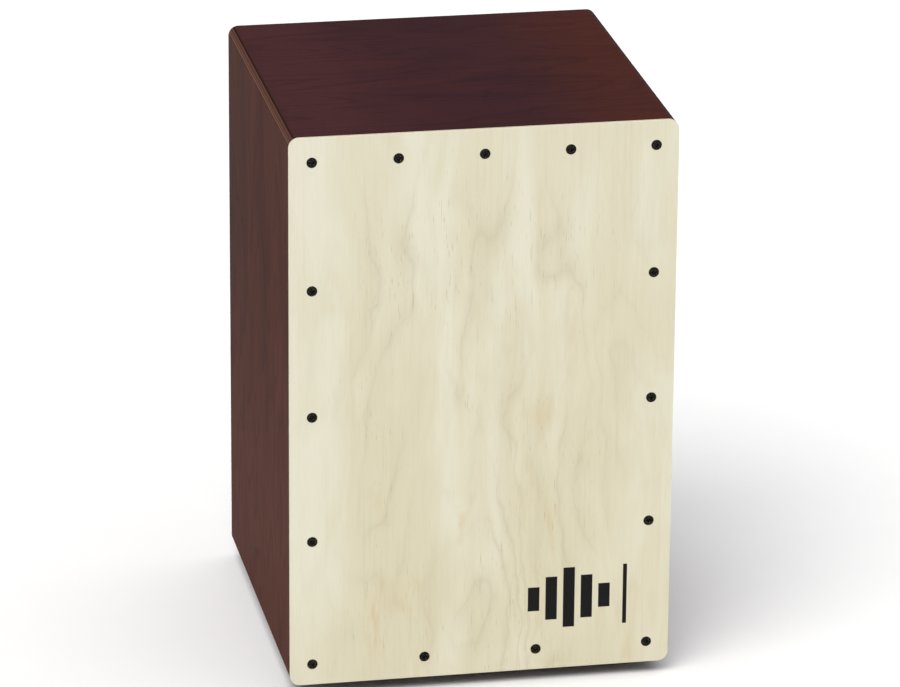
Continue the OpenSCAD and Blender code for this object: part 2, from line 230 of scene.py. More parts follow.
def wood_relief(g, fibre, pores, distance):
    """Raised fibres and sunken pores."""
    relief = g.math("SUBTRACT", g.math("MULTIPLY", fibre, 0.5), g.math("MULTIPLY", pores, 0.6))
    return g.bump(relief, distance, 0.5)


GLUE = srgb(34, 20, 17)


def ply_layers(g, depth, plies, thickness):
    """Plies seen edge-on, with a thin glue line between each two.

    plies is a list of (start mm, colour). A ramp holds 32 stops, so 11 plies at most.
    """
    stops = [(plies[0][0] / thickness, plies[0][1])]
    for (_, colour_before), (start, colour) in zip(plies, plies[1:]):
        at = start / thickness
        stops += [(at - 0.006, colour_before), (at, GLUE), (at + 0.010, colour)]
    return g.ramp(g.math("DIVIDE", depth, thickness), stops)


def stained_face(g, grain, grain_axis, seed, tint, streaky, patches):
    """The stained outer veneer's colour."""
    fibre, streak, pores, blotch = grain
    dark, middle, light, streaks, rear, front = tint
    face = g.ramp(blotch, [(0.30, srgb(*dark)), (0.50, srgb(*middle)), (0.72, srgb(*light))])
    face = g.mix(g.span(streak, 0.35, 0.68, 0.0, streaky), face, srgb(*streaks))
    # Painted reflection: towards the rear of each panel the colour turns cooler, a painted sheen of the
    # sky. Towards the front it turns redder.
    face = g.mix(g.span(g.y, -40, 150, 0.0, 0.40), face, srgb(*rear))
    face = g.mix(g.span(g.y, -147, -90, 0.30, 0.0), face, srgb(*front))
    for axis, low, high, at_low, at_high, patch in patches:
        place = {"x": g.x, "z": g.z}[axis]
        face = g.mix(g.span(place, low, high, at_low, at_high), face, srgb(*patch))
    offset = (seed * 91.0, seed * 29.0, seed * 61.0)
    rings = growth_rings(g, g.stretched(*drawn_out(grain_axis, 74, 330), offset), 13.0, 2, 0.5, 0.25)
    face = g.mix(g.span(rings, 0.0, 0.40, 0.30, 0.0), face, srgb(*[c * 0.66 for c in dark]))
    face = g.mix(g.span(fibre, 0.30, 0.72, 0.0, 0.42), face, srgb(*[c * 0.80 for c in dark]))
    return g.mix(g.math("MULTIPLY", pores, 0.55), face, srgb(24, 12, 12))


# Near black, for the dark joints and for the painted shade and shadow beside them.
SEAM_AND_SHADOW = srgb(16, 8, 7)


def shell_seams_and_shadow(g, colour):
    """Dark lines at the joints of the side and level panels, partly stain in the joint and partly
    painted shade in the crease, and a painted shadow line on the shell just behind the plate.
    """
    # Stain in the joint, deepened by painted shade in the crease where a side's lip meets a level
    # panel.
    from_joint = g.distance(g.math("ABSOLUTE", g.x), LIP_X)
    joint_and_crease_shade = g.span(from_joint, 0.25, 0.75, 1.0, 0.0)
    inner_face = (SHELL_TOP_Z - SHELL_BOTTOM_Z) / 2 - PANEL_THICKNESS
    near_corner = g.span(g.distance(g.z, SHELL_MIDDLE_Z), inner_face - 0.2, inner_face + 0.2)
    colour = g.mix(g.product(joint_and_crease_shade, near_corner, 0.9), colour, SEAM_AND_SHADOW)
    # Painted shadow: the gap between the plate and the shell, painted dark on the shell's front edge.
    plate_gap_shadow = g.span(g.y, PLATE_BACK_Y + 0.25, PLATE_BACK_Y + 0.9, 0.85, 0.0)
    return g.mix(plate_gap_shadow, colour, SEAM_AND_SHADOW)


def stained_wood(name, depth, plies, grain_axis, seed, tint, streaky=0.30, coat=0.11, patches=()):
    """Dark stained plywood. depth(g) is the distance in mm in from the panel's outer face.

    tint holds six colours: dark, middle and light blotches, streaks, the rear's painted cool sheen, and
    the front. Each patch is an axis, two places on it in mm, the strength at each and a colour.
    """
    g = Graph(name, Specular_IOR_Level=0.0, Coat_Weight=coat, Coat_Roughness=0.34)
    grain = wood_grain(g, grain_axis, seed)
    fibre, streak, pores, blotch = grain
    face = stained_face(g, grain, grain_axis, seed, tint, streaky, patches)

    t = depth(g)
    layers = ply_layers(g, t, plies, PANEL_THICKNESS)
    layers = g.mix(g.span(fibre, 0.3, 0.7, 0.0, 0.35), layers, srgb(60, 38, 32))
    wobble = g.math("ADD", t, g.math("MULTIPLY", g.math("SUBTRACT", streak, 0.5), 0.15))
    on_edge = g.span(wobble, 0.36, 0.44)
    # The plies show at the rear end and on the rounded edges, but not on the inner face.
    on_end = g.math("MAXIMUM", g.span(g.y, REAR_Y - 0.35, REAR_Y - 0.15),
                    g.span(t, PANEL_THICKNESS - 0.4, PANEL_THICKNESS - 0.25, 1.0, 0.0))
    colour = g.mix(g.math("MULTIPLY", on_edge, on_end), face, layers)
    # The chamber's walls are bare as far back as the back panel.
    inside = g.math("MULTIPLY", g.span(t, PANEL_THICKNESS - 0.25, PANEL_THICKNESS - 0.12),
                    g.span(g.y, BACK_PANEL_Y - 0.5, BACK_PANEL_Y, 1.0, 0.0))
    raw = g.mix(g.span(streak, 0.3, 0.7), srgb(198, 168, 128), srgb(176, 143, 104))
    colour = shell_seams_and_shadow(g, g.mix(inside, colour, raw))

    rough = g.span(blotch, 0.25, 0.75, 0.40, 0.52)
    rough = g.math("ADD", rough, g.math("MULTIPLY", on_edge, 0.10))
    g.set(Base_Color=colour, Roughness=rough, Normal=wood_relief(g, fibre, pores, 0.05 * MM))
    return g.material


SIDE_PLIES = [
    (0.0, srgb(84, 52, 44)), (0.40, srgb(122, 86, 68)), (0.80, srgb(74, 44, 38)),
    (1.15, srgb(116, 80, 64)), (1.55, srgb(82, 50, 42)),
    (2.6, srgb(94, 60, 49)), (4.1, srgb(66, 40, 34)), (5.7, srgb(98, 64, 52)),
    (7.3, srgb(64, 38, 33)), (8.9, srgb(96, 62, 51)), (10.5, srgb(88, 58, 49)),
]
LEVEL_PLIES = [
    (0.0, srgb(70, 42, 38)), (0.5, srgb(58, 33, 29)), (1.6, srgb(70, 42, 36)),
    (3.1, srgb(52, 29, 26)), (4.6, srgb(78, 48, 40)), (6.1, srgb(54, 31, 27)),
    (7.6, srgb(76, 47, 40)), (9.1, srgb(52, 30, 26)), (10.6, srgb(74, 46, 39)),
]
# Dark, middle and light blotches, streaks, the rear's painted cool sheen, and the front
SIDE_TINT = [(63, 32, 25), (78, 41, 31), (90, 48, 35), (73, 42, 36), (61, 43, 40), (86, 46, 33)]
# Painted shade: the seat's stain is a darker copy of the sides' stain, standing in for shade on the
# seat, and its more purple hue is the seat's own. The bottom takes the same colours.
SHADED_LEVEL_TINT = [(50, 26, 29), (57, 29, 33), (66, 33, 33), (54, 30, 36), (55, 30, 34), (66, 34, 31)]
# Lighter and warmer low on the sides; lighter towards the left end and warmer towards the right end of
# the seat.
SIDE_PATCHES = [("z", 90, 300, 0.75, 0.0, (96, 57, 47))]
TOP_PATCHES = [("x", -120, -25, 0.80, 0.0, (71, 38, 40)), ("x", 35, 130, 0.0, 0.85, (73, 34, 24))]


def side_depth(g):
    return g.math("SUBTRACT", HALF_WIDTH, g.math("ABSOLUTE", g.x))


def top_depth(g):
    return g.math("SUBTRACT", SHELL_TOP_Z, g.z)


def bottom_depth(g):
    return g.math("SUBTRACT", g.z, SHELL_BOTTOM_Z)


# The printed mark: five upright bars, tallest in the middle, and a thin bar that stands apart.
# Centre, half width and half height of each bar, mm
MARK_BARS = [(42.0, 4.6, 10.0), (56.0, 4.6, 18.0), (70.0, 4.6, 25.0), (84.0, 4.6, 18.0),
             (98.0, 4.6, 10.0), (114.5, 1.6, 25.0)]
MARK_Z = 69.0
MARK_SOFT_EDGE = 0.12


def printed_mark(g, depth, fibre):
    """How much ink lies at each point, from 0 to 1."""
    def within(value, half):
        return g.span(value, half - MARK_SOFT_EDGE, half + MARK_SOFT_EDGE, 1.0, 0.0)

    upright_distance = g.distance(g.z, MARK_Z)
    ink = 0.0
    for bar_x, half_width, half_height in MARK_BARS:
        bar = g.math("MULTIPLY", within(g.distance(g.x, bar_x), half_width),
                     within(upright_distance, half_height))
        ink = g.math("MAXIMUM", bar, ink)
    on_face = g.span(depth, 0.02, 0.10, 1.0, 0.0)
    wear_and_glint = g.span(fibre, 0.20, 0.34, 0.94, 1.0)
    return g.product(ink, on_face, wear_and_glint)


def veneer_figure(g):
    """Growth figure: how dark each ring is, strongest in the middle of the sheet."""
    warp = g.noise(g.stretched(30, 30, 60, (11, 0, 5)), 3, 0.5)
    bend = g.combine(g.math("MULTIPLY", g.math("SUBTRACT", warp, 0.5), 0.34), 0, 0)
    place = g.vector("ADD", g.stretched(88, 88, 300, (28, 0, 410)), bend)
    rings = growth_rings(g, place, 10.0, 2, 0.45, 0.12)
    levels = [(0.0, 0.22), (0.07, 0.64), (0.30, 0.93), (0.72, 1.0), (0.90, 0.76), (1.0, 0.40)]
    figure = g.ramp(rings, [(at, (level, level, level, 1)) for at, level in levels])
    patchy = g.span(g.noise(g.stretched(60, 60, 110, (3, 0, 77)), 2, 0.5), 0.38, 0.62, 0.15, 1.0)
    aside = g.math("ABSOLUTE", g.x)
    middle = g.math("MULTIPLY", g.span(aside, 70, 135, 1.0, 0.22), g.span(g.z, 370, 440, 1.0, 0.35))
    return g.math("SUBTRACT", 1.0, figure), g.math("MULTIPLY", patchy, middle)


def veneer_colour(g, fibre, blotch, flecks):
    """Pale rotary-cut veneer, cooler and paler towards the top, with painted light lightening it near
    the left edge and a little near the right.
    """
    shade, strength = veneer_figure(g)
    aside = g.math("ABSOLUTE", g.x)
    tan_field = g.noise(g.stretched(23, 23, 96, (205, 0, 64)), 3, 0.5, 0.5)
    tan = g.product(g.span(tan_field, 0.56, 0.74), g.span(g.z, 60, 330, 1.0, 0.30),
                    g.span(aside, 95, 135, 1.0, 0.2))
    streak_field = g.noise(g.stretched(3.4, 3.4, 120, (5, 0, 9)), 4, 0.7, 0.5)
    streak = g.math("MULTIPLY", g.span(streak_field, 0.46, 0.76), g.span(blotch, 0.35, 0.65, 0.4, 1.0))
    dashes = g.span(g.noise(g.stretched(1.3, 1.3, 30, (47, 0, 88)), 1, 0.5), 0.70, 0.80)

    cool, cream = srgb(224, 221, 201), srgb(215, 208, 181)
    warm, line = srgb(200, 176, 132), srgb(178, 163, 134)
    # Painted light: the face is lightened towards the left edge, and a little towards the right;
    # towards the top it turns cooler and paler.
    painted_light_edges = g.math("ADD", g.span(g.x, -150, -80, 0.45, 0.0), g.span(g.x, 80, 150, 0.0, 0.12))
    painted_light_and_cool_top = g.math("ADD", painted_light_edges, g.span(g.z, 250, 440, 0.0, 0.30))
    colour = g.mix(g.math("SUBTRACT", g.span(blotch, 0.24, 0.58), painted_light_and_cool_top, clamp=True), cool, cream)
    colour = g.mix(g.math("MULTIPLY", tan, 0.62), colour, warm)
    colour = g.mix(g.product(shade, strength, 0.42), colour, line)
    colour = g.mix(g.math("MULTIPLY", streak, 0.16), colour, line)
    colour = g.mix(g.span(fibre, 0.30, 0.75, 0.0, 0.12), colour, srgb(192, 181, 153))
    colour = g.mix(g.product(flecks, strength, 0.34), colour, srgb(150, 128, 96))
    return g.mix(g.product(dashes, strength, 0.30), colour, srgb(160, 140, 108))


def plate_wood():
    """Veneered three-ply plate with a plain printed mark at the lower right."""
    g = Graph("plate_veneer", Specular_IOR_Level=0.12, Coat_Weight=0.06, Coat_Roughness=0.30)
    fibre = g.noise(g.stretched(0.5, 0.5, 22, (7, 0, 3)), 3, 0.65)
    blotch = g.noise(g.stretched(44, 44, 190, (91, 0, 12)), 3, 0.55, 0.5)
    flecks = g.span(g.noise(g.stretched(0.8, 0.8, 12, (17, 0, 31)), 1, 0.5), 0.68, 0.76)
    colour = veneer_colour(g, fibre, blotch, flecks)

    # Edge: two pale plies with a darker cross-grained core between them. The outer ply and the face's
    # rim take a bright cream, partly the ply's own pale colour and partly a painted highlight.
    t = g.math("SUBTRACT", g.y, PLATE_FRONT_Y)
    thickness = PLATE_BACK_Y - PLATE_FRONT_Y
    # The outer ply's own pale colour, brightened along the rim as a painted highlight.
    outer = g.math("MULTIPLY", g.span(t, 0.03, 0.20),
                   g.span(t, 0.28 * thickness, 0.36 * thickness, 1.0, 0.0))
    colour = g.mix(g.math("MULTIPLY", outer, 0.8), colour, srgb(246, 236, 214))
    core = g.math("MULTIPLY", g.span(t, 0.33 * thickness, 0.40 * thickness),
                  g.span(t, 0.60 * thickness, 0.67 * thickness, 1.0, 0.0))
    colour = g.mix(g.math("MULTIPLY", core, 0.9), colour, srgb(140, 104, 78))

    ink = printed_mark(g, t, fibre)
    colour = g.mix(ink, colour, srgb(13, 11, 12))
    ink_rough = 0.45
    rough = g.span(blotch, 0.3, 0.7, 0.40, 0.50)
    rough = g.span(ink, 0.0, 1.0, rough, ink_rough, smooth=False)
    relief = g.math("SUBTRACT", g.math("MULTIPLY", fibre, 0.5), g.math("MULTIPLY", flecks, 0.4))
    g.set(Base_Color=colour, Roughness=rough, Normal=g.bump(relief, 0.035 * MM, 0.45))
    return g.material


BACK_PLIES = [
    (0.0, srgb(86, 56, 46)), (0.9, srgb(120, 86, 64)), (2.0, srgb(88, 58, 46)),
    (3.1, srgb(122, 88, 66)), (4.2, srgb(150, 118, 86)),
]


def back_wood():
    """Thin stained plywood of the back panel, bare on the inside."""
    g = Graph("back_board", Specular_IOR_Level=0.0, Coat_Weight=0.10, Coat_Roughness=0.36)
    fibre, streak, pores, blotch = wood_grain(g, "z", 9)
    rings = growth_rings(g, g.stretched(60, 60, 260, (80, 0, 33)), 15.0, 2, 0.5, 0.3)
    colour = g.mix(g.span(blotch, 0.3, 0.7), srgb(62, 38, 34), srgb(82, 52, 45))
    colour = g.mix(g.span(rings, 0.0, 0.35, 0.40, 0.0), colour, srgb(46, 27, 25))
    colour = g.mix(g.span(streak, 0.35, 0.7, 0.0, 0.35), colour, srgb(94, 61, 51))
    colour = g.mix(g.span(fibre, 0.3, 0.7, 0.0, 0.25), colour, srgb(52, 31, 28))
    colour = g.mix(g.math("MULTIPLY", pores, 0.4), colour, srgb(26, 15, 13))
    # Seen edge-on, in the port: five plies, and the unstained inner face.
    t = g.math("SUBTRACT", back_high.y, g.y)
    thickness = back_high.y - back_low.y
    colour = g.mix(g.span(t, 0.30, 0.40), colour, ply_layers(g, t, BACK_PLIES, thickness))
    raw = g.mix(g.span(streak, 0.3, 0.7), srgb(190, 160, 120), srgb(168, 136, 98))
    colour = g.mix(g.span(t, thickness - 0.25, thickness - 0.12), colour, raw)
    g.set(Base_Color=colour, Roughness=g.span(blotch, 0.25, 0.75, 0.42, 0.55),
          Normal=wood_relief(g, fibre, pores, 0.05 * MM))
    return g.material


def raw_wood(name, grain_axis, seed, light=(206, 176, 132), dark=(178, 141, 96)):
    """Planed wood: growth rings across the section, drawn out along the grain."""
    g = Graph(name, Specular_IOR_Level=0.28)
    fibre, streak, pores, blotch = wood_grain(g, grain_axis, seed)
    offset = (seed * 19.0, seed * 7.0, seed * 3.0)
    rings = growth_rings(g, g.stretched(*drawn_out(grain_axis, 17, 420), offset), 16.0, 2, 0.4, 0.2)
    colour = g.mix(g.span(rings, 0.15, 0.95), srgb(*light), srgb(*dark))
    colour = g.mix(g.span(blotch, 0.3, 0.75, 0.0, 0.35), colour, srgb(216, 186, 142))
    colour = g.mix(g.span(fibre, 0.3, 0.75, 0.0, 0.25), colour, srgb(160, 124, 84))
    colour = g.mix(g.math("MULTIPLY", pores, 0.35), colour, srgb(120, 86, 54))
    relief = g.math("ADD", g.math("MULTIPLY", fibre, 0.6), g.math("MULTIPLY", rings, 0.4))
    g.set(Base_Color=colour, Roughness=g.span(streak, 0.3, 0.7, 0.62, 0.78),
          Normal=g.bump(relief, 0.08 * MM, 0.5))
    return g.material


# ---------------------------------------------------------------- metal, rubber, felt


def metal(name, base, dull, rough, seed, metallic=1.0, scratches=0.35, wear_and_glint=None):
    """Metal with slow clouding and fine scratches. The last argument, if given, is the colour of small
    specks of painted glint.
    """
    g = Graph(name, Metallic=metallic)
    cloud = g.noise(g.stretched(3.2, 3.2, 3.2, (seed * 13.0, 0, seed * 5.0)), 3, 0.5)
    fine = g.noise(g.stretched(0.16, 0.16, 0.16, (seed, seed, 0)), 2, 0.5)
    lines = g.noise(g.stretched(0.12, 2.4, 0.35, (0, seed, 0)), 2, 0.6)
    colour = g.mix(g.span(cloud, 0.35, 0.7), srgb(*base), srgb(*dull))
    bright = srgb(*[min(255, c + 45) for c in base])
    colour = g.mix(g.span(lines, 0.62, 0.75, 0.0, scratches), colour, bright)
    if wear_and_glint:
        # Painted glints: small warm specks of painted reflection, scattered over the metal.
        glint_specks = g.noise(g.stretched(0.75, 0.75, 0.75, (seed * 3.0, 0, 7.0)), 1, 0.5)
        colour = g.mix(g.span(glint_specks, 0.58, 0.68, 0.0, 0.85), colour, srgb(*wear_and_glint))
    roughness = g.math("ADD", g.span(cloud, 0.3, 0.7, rough - 0.06, rough + 0.10),
                       g.math("MULTIPLY", g.math("SUBTRACT", fine, 0.5), 0.12))
    g.set(Base_Color=colour, Roughness=roughness, Normal=g.bump(fine, 0.02 * MM, 0.35))
    return g.material


def rubber():
    """Matte moulded rubber, dusty in patches."""
    g = Graph("foot_rubber", Specular_IOR_Level=0.35)
    fine = g.noise(g.stretched(0.35, 0.35, 0.35), 3, 0.6)
    dust = g.span(g.noise(g.stretched(6, 6, 3), 4, 0.6), 0.45, 0.8, 0.0, 0.5)
    colour = g.mix(dust, srgb(30, 30, 31), srgb(62, 60, 58))
    g.set(Base_Color=colour, Roughness=g.span(fine, 0.3, 0.7, 0.68, 0.82),
          Normal=g.bump(fine, 0.05 * MM, 0.6))
    return g.material


def felt():
    """Pressed grey wool felt."""
    g = Graph("grey_felt", Sheen_Weight=0.5, Sheen_Roughness=0.5, Specular_IOR_Level=0.15)
    fibres = g.noise(g.stretched(0.25, 0.25, 0.25), 5, 0.7, 1.5)
    cloud = g.noise(g.stretched(3, 3, 3), 3, 0.6)
    colour = g.mix(g.span(fibres, 0.3, 0.7), srgb(70, 70, 72), srgb(110, 109, 108))
    colour = g.mix(g.span(cloud, 0.35, 0.7, 0.0, 0.4), colour, srgb(84, 82, 82))
    g.set(Base_Color=colour, Roughness=g.span(cloud, 0.3, 0.7, 0.88, 0.97),
          Normal=g.bump(fibres, 0.2 * MM, 0.8))
    return g.material


MATERIALS = {
    "plate": plate_wood(),
    "side": stained_wood("stained_side", side_depth, SIDE_PLIES, "z", 1, SIDE_TINT,
                         coat=0.09, patches=SIDE_PATCHES),
    "side_right": stained_wood("stained_side_right", side_depth, SIDE_PLIES, "z", 4, SIDE_TINT,
                               coat=0.09, patches=SIDE_PATCHES),
    "top": stained_wood("stained_top", top_depth, LEVEL_PLIES, "x", 2, SHADED_LEVEL_TINT, 0.14,
                        patches=TOP_PATCHES),
    "bottom": stained_wood("stained_bottom", bottom_depth, LEVEL_PLIES, "x", 3, SHADED_LEVEL_TINT, 0.14),
    "back": back_wood(),
    "raw_upright": raw_wood("raw_wood_upright", "z", 1),
    "raw_level": raw_wood("raw_wood_level", "x", 2),
    "raw_back_upright": raw_wood("raw_wood_back_upright", "z", 3),
    "raw_back_level": raw_wood("raw_wood_back_level", "x", 4),
    "beech": raw_wood("beech", "x", 6, (204, 160, 118), (186, 140, 98)),
    "beech_block": raw_wood("beech_block", "z", 7, (204, 160, 118), (186, 140, 98)),
    # The black screws' last colour is for their painted glints.
    "black": metal("black_screws", (12, 11, 10), (6, 6, 6), 0.34, 1, 0.75, 0.25, (104, 92, 72)),
    "zinc": metal("zinc_steel", (184, 187, 193), (168, 171, 177), 0.28, 2),
    "wire": metal("string_wire", (190, 190, 194), (160, 160, 162), 0.24, 3),
    "brass": metal("brass_ferrules", (214, 176, 96), (176, 138, 70), 0.26, 4),
    "rubber": rubber(),
    "felt": felt(),
}


# ---------------------------------------------------------------- CAD nodes that stay


SHARP_ANGLE = math.radians(35.0)


def dress(node_name, material, edge, segments=2):
    """Gives a CAD node its material, and softens its sharp edges by edge metres."""
    obj = nodes[node_name]
    obj.data.materials.clear()
    obj.data.materials.append(MATERIALS[material])
    bevel = obj.modifiers.new("soft_edges", "BEVEL")
    bevel.width = edge
    bevel.segments = segments
    bevel.limit_method = "ANGLE"
    bevel.angle_limit = SHARP_ANGLE
    bevel.harden_normals = True


dress("front_plate", "plate", 0.35 * MM)
dress("left_side_panel", "side", 0.45 * MM)
dress("right_side_panel", "side_right", 0.45 * MM)
dress("top_panel", "top", 0.45 * MM)
dress("bottom_panel", "bottom", 0.4 * MM)
dress("back_panel", "back", 0.4 * MM)
for side in ("left", "right"):
    dress(f"front_{side}_batten", "raw_upright", 0.6 * MM)
    dress(f"back_{side}_batten", "raw_back_upright", 0.6 * MM)
    dress(f"{side}_guide_block", "beech_block", 0.6 * MM)
    dress(f"{side}_string_carriage", "zinc", 0.4 * MM)
    dress(f"{side}_tension_washer", "zinc", 0.15 * MM)
    dress(f"{side}_string_ferrules", "brass", 0.2 * MM)
for level in ("top", "bottom"):
    dress(f"front_{level}_batten", "raw_level", 0.6 * MM)
    dress(f"back_{level}_batten", "raw_back_level", 0.6 * MM)
dress("string_crossbar", "beech", 0.5 * MM)
for row in ("plate_screws_top", "plate_screws_bottom", "plate_screws_left", "plate_screws_right",
            "back_screws"):
    dress(row, "black", 0.10 * MM)
dress("string_anchor_screws", "zinc", 0.10 * MM)
dress("foot_screws", "zinc", 0.10 * MM)
dress("foot_washers", "zinc", 0.12 * MM)
for corner in ("front_left", "front_right", "back_left", "back_right"):
    dress(f"foot_{corner}", "rubber", 0.5 * MM, 3)


# ---------------------------------------------------------------- pieces built here


def add_to_scene(obj):
    bpy.context.scene.collection.objects.link(obj)
    return obj


def new_piece(name, verts, faces, material, smooth=True):
    mesh = bpy.data.meshes.new(name)
    mesh.from_pydata([tuple(v) for v in verts], [], faces)
    mesh.update()
    for polygon in mesh.polygons:
        polygon.use_smooth = smooth
    mesh.materials.append(MATERIALS[material])
    return add_to_scene(bpy.data.objects.new(name, mesh))


def tube(path, radius, sides, closed=False):
    """Vertices and faces of a round tube along path, carried without twisting."""
    points = [Vector(p) for p in path]
    count = len(points)
    verts, faces = [], []
    normal = None
    for i, point in enumerate(points):
        if closed:
            ahead, behind = points[(i + 1) % count], points[i - 1]
        else:
            ahead, behind = points[min(i + 1, count - 1)], points[max(i - 1, 0)]
        tangent = (ahead - behind).normalized()
        if normal is None:
            helper = Vector((1, 0, 0)) if abs(tangent.x) < 0.8 else Vector((0, 1, 0))
            normal = tangent.cross(helper).normalized()
        normal = (normal - tangent * normal.dot(tangent)).normalized()
        other = tangent.cross(normal)
        for k in range(sides):
            a = 2 * math.pi * k / sides
            verts.append(point + radius * (math.cos(a) * normal + math.sin(a) * other))
    last = count if closed else count - 1
    for i in range(last):
        for k in range(sides):
            a, b = i * sides, ((i + 1) % count) * sides
            faces.append((a + k, a + (k + 1) % sides, b + (k + 1) % sides, b + k))
    if not closed:
        faces.append(tuple(reversed(range(sides))))
        faces.append(tuple(range((count - 1) * sides, count * sides)))
    return verts, faces


def joined(*parts):
    """One vertex and face list from several."""
    verts, faces = [], []
    for part_verts, part_faces in parts:
        shift = len(verts)
        verts += part_verts
        faces += [tuple(i + shift for i in face) for face in part_faces]
    return verts, faces


def points_between(a, b, count):
    """Evenly spaced points from a up to, but not at, b."""
    return [a.lerp(b, i / count) for i in range(count)]


def middle(low, high):
    return (low + high) / 2


# Strings: knot under the ferrule, straight run, bend over the crossbar, and a wound eye.
STRING_R = 0.4 * MM
STRAND_R = 0.34 * MM
STRING_SIDES = 10
STRAND_SIDES = 8
RUN_POINTS = 120
BEND_POINTS = 8
ABOVE_CROSSBAR = 0.45 * MM
WRAP_R = 0.78 * MM
WRAP_TURNS = 5
WRAP_PITCH = 0.84 * MM
WRAP_FROM_BEND = 2.6 * MM
WRAP_LIFT = WRAP_R + 0.1 * MM
WRAP_POINTS = 100
EYE_SWEEP = 2 * math.pi * 0.97
EYE_POINTS = 40
KNOT_DROP = 1.15 * MM
KNOT_SIZE = 0.26 * MM
KNOT_HEIGHT = 1.3
KNOT_POINTS = 60
ferrule_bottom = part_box("left_string_ferrules")[0].z
crossbar_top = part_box("string_crossbar")[1].z
anchor_y = middle(*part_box("string_anchor_screws")).y


def wrap_strand(start):
    """The path of the strand wound round the string behind the bend."""
    sweep = 2 * math.pi * WRAP_TURNS
    return [start + Vector((WRAP_R * math.cos(a), WRAP_PITCH * a / (2 * math.pi), WRAP_R * math.sin(a)))
            for a in np.linspace(0, sweep, WRAP_POINTS)]


def trefoil(centre):
    """The closed path of the knot under the ferrule."""
    return [centre + KNOT_SIZE * Vector((math.sin(a) + 2 * math.sin(2 * a),
                                         math.cos(a) - 2 * math.cos(2 * a),
                                         -math.sin(3 * a) * KNOT_HEIGHT))
            for a in np.linspace(0, 2 * math.pi, KNOT_POINTS, endpoint=False)]


def string_piece(side, place):
    node_name = f"{side}_{place}_string"
    low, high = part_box(node_name)
    x = (low.x + high.x) / 2
    eye_r = (high.x - low.x) / 2 - STRING_R
    top_z = crossbar_top + ABOVE_CROSSBAR
    base = Vector((x, middle(*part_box(f"{side}_tension_screw")).y, ferrule_bottom - KNOT_DROP))
    bend = Vector((x, low.y + STRING_R, top_z))
    wrap_start = bend + Vector((0, WRAP_FROM_BEND, WRAP_LIFT))
    wrap_end = wrap_start + Vector((0, WRAP_TURNS * WRAP_PITCH, 0))
    eye_start = Vector((x, anchor_y - eye_r, top_z))
    path = points_between(base, bend, RUN_POINTS)
    path += points_between(bend, wrap_start, BEND_POINTS)
    path += points_between(wrap_start, wrap_end, BEND_POINTS)
    path += points_between(wrap_end, eye_start, BEND_POINTS)
    path += [Vector((x + eye_r * math.sin(a), anchor_y - eye_r * math.cos(a), top_z))
             for a in np.linspace(0, EYE_SWEEP, EYE_POINTS)]
    verts, faces = joined(tube(path, STRING_R, STRING_SIDES),
                          tube(wrap_strand(wrap_start), STRAND_R, STRAND_SIDES),
                          tube(trefoil(base), STRAND_R, STRAND_SIDES, closed=True))
    obj = new_piece(f"{side}_{place}_wire", verts, faces, "wire")
    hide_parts(node_name)
    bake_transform(obj)


for side in ("left", "right"):
    for place in ("outer", "inner"):
        string_piece(side, place)


# Felt strip: a crowned pad with a slightly uneven, napped face.
FELT_CUTS = 23
FELT_RIM = 0.9 * MM
RIM_THICKNESS = 0.72
NAP = 0.02
NAP_SEED = 11
felt_low, felt_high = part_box("felt_strip")


def felt_piece():
    rng = np.random.default_rng(NAP_SEED)
    centre, half = middle(felt_low, felt_high), (felt_high - felt_low) / 2
    bm = bmesh.new()
    bmesh.ops.create_cube(bm, size=2.0)
    bmesh.ops.subdivide_edges(bm, edges=bm.edges[:], cuts=FELT_CUTS, use_grid_fill=True)
    for vert in bm.verts:
        u, v, w = vert.co
        # The pad thins towards its ends and its long edges.
        from_rim = min((1 - abs(u)) * half.x, (1 - abs(w)) * half.z) / FELT_RIM
        rise = math.sin(math.pi / 2 * min(1.0, max(0.0, from_rim)))
        crown = RIM_THICKNESS + (1 - RIM_THICKNESS) * rise
        # The nap only shrinks the pad, so that it stays inside the strip's box.
        nap = rng.normal(0, NAP)
        vert.co = (centre.x + u * half.x * (1 - 0.004 * abs(nap)),
                   centre.y + v * half.y * min(1.0, crown + nap * 0.5),
                   centre.z + w * half.z * (1 - 0.02 * abs(nap)))
    mesh = bpy.data.meshes.new("felt_pad")
    bm.to_mesh(mesh)
    bm.free()
    for polygon in mesh.polygons:
        polygon.use_smooth = True
    mesh.materials.append(MATERIALS["felt"])
    obj = add_to_scene(bpy.data.objects.new("felt_pad", mesh))
    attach(obj, "box")
    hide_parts("felt_strip")


felt_piece()


# Tension screws: socket head with a knurled side and a right-handed thread cut in the shank.
THREAD_PITCH = 1.0 * MM
THREAD_DEPTH = 0.55 * MM
THREAD_FLANK = 1.5
THREAD_ROOT = 0.2
THREAD_RUN_IN = 1.5 * MM
THREAD_SIDES = 36
STEPS_PER_PITCH = 8
SHANK_R = 3.0 * MM
UNDERCUT = 2.0 * MM
END_CHAMFER = 0.8 * MM
END_TAPER = 0.9 * MM
KEY_FLAT_R = 2.5 * MM
KEY_DEPTH = 3.0 * MM
KEY_CHAMFER = 0.25 * MM
HEAD_SIDES = 72
HEAD_CHAMFER = 0.6 * MM
HEAD_RIM = 0.4 * MM
KNURL_DEPTH = 0.16 * MM
WASHER_GAP = 0.05 * MM


def hexagon_radius(angle):
    """How far the key's socket reaches from its centre in one direction."""
    sector = math.pi / 3
    return KEY_FLAT_R / math.cos((angle + sector / 2) % sector - sector / 2)


def thread_radius(angle, z, start, end):
    """The shank's radius at height z: a ridge that climbs one pitch for each turn."""
    phase = (z / THREAD_PITCH - angle / (2 * math.pi)) % 1.0
    ridge = min(1.0, max(0.0, THREAD_FLANK * abs(2 * phase - 1) - THREAD_ROOT))
    run_in = min(1.0, (z - start) / THREAD_RUN_IN)
    end_taper = min(1.0, (end - z) / END_TAPER)
    return min(SHANK_R - THREAD_DEPTH * (1 - ridge) * run_in,
               SHANK_R - END_CHAMFER * (1 - end_taper))


